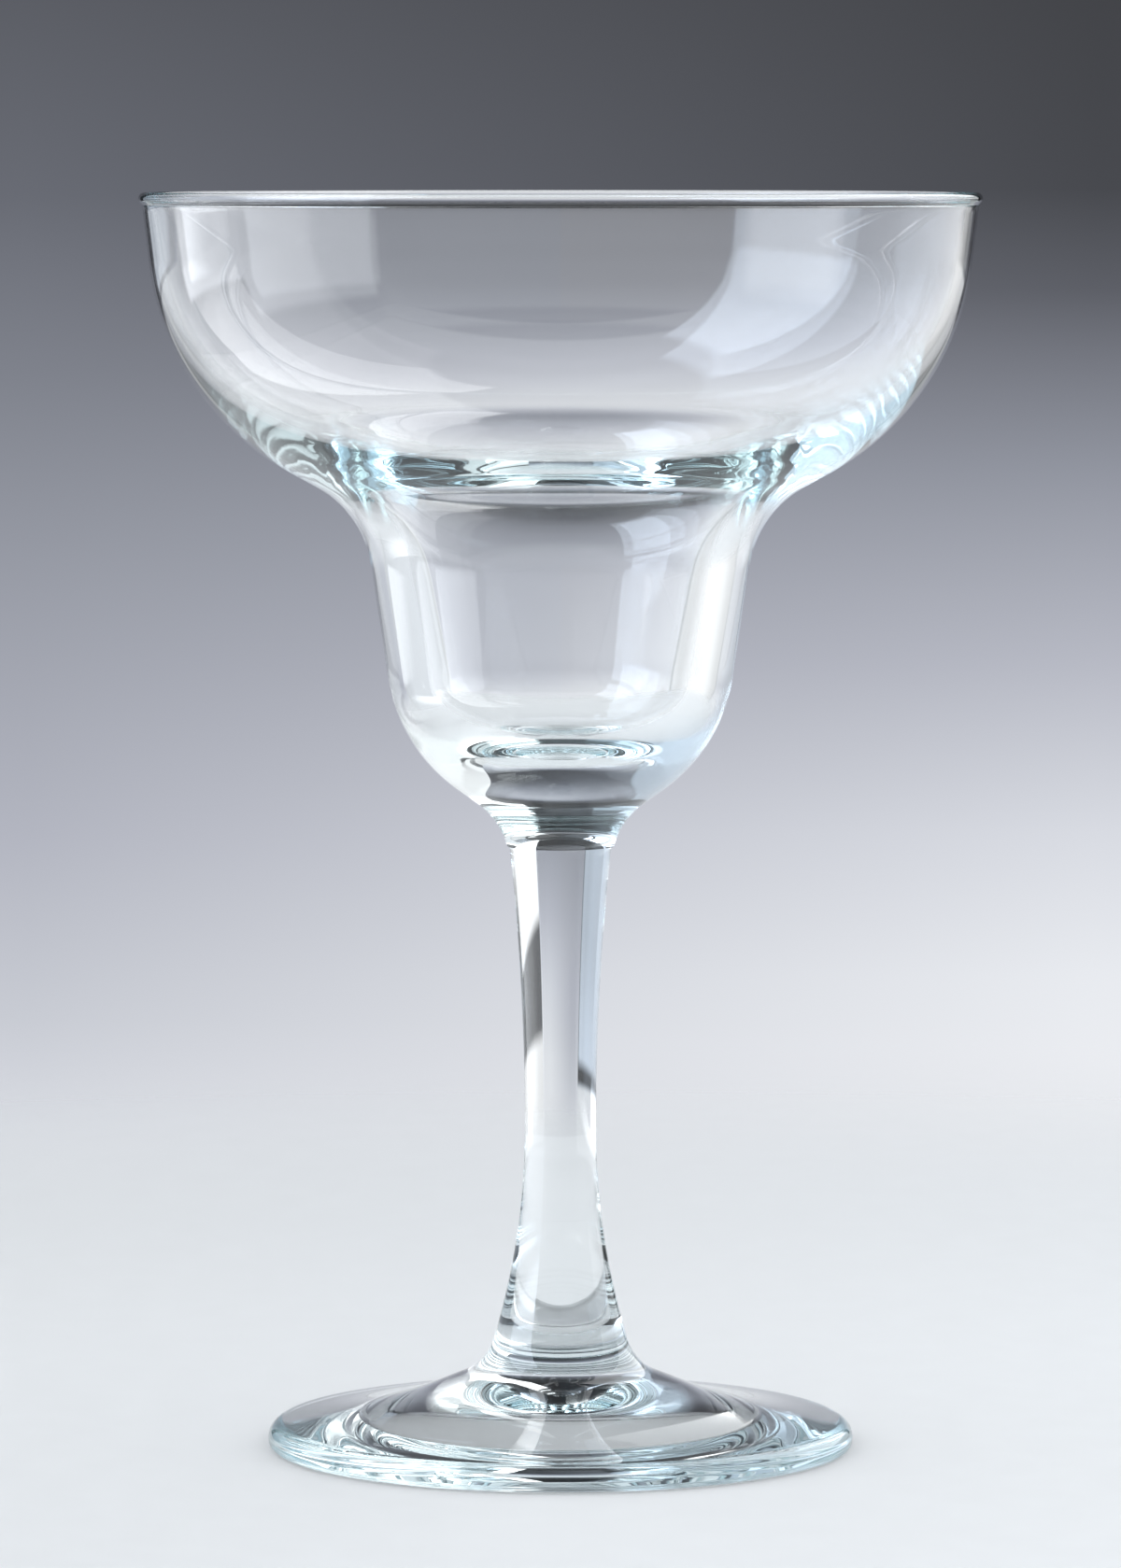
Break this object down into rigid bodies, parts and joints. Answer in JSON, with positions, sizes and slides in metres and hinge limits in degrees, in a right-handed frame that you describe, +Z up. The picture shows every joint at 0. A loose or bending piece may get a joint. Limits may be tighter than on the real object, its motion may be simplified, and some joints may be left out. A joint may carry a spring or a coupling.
{
  "type": "margarita glass",
  "caption": "Clear stemmed cocktail glass: a wide upper bowl steps in at a thick ledge to a narrow well, on a waisted solid stem and a round foot; holds a mixed drink.",
  "frame": {"origin": "centre of the foot's resting ring, on the plane that the glass stands on", "axes": "+Z up along the glass's turning axis, from the foot to the rim; +Y away from the viewer of the picture"},
  "size_m": [0.115, 0.115, 0.1724],
  "materials": {
    "clear_glass": "fire-polished clear soda-lime glass, faintly green where it is thick"
  },
  "bodies": {
    "root": {"bowl": "clear_glass", "stem": "clear_glass", "foot": "clear_glass"}
  },
  "joints": []
}
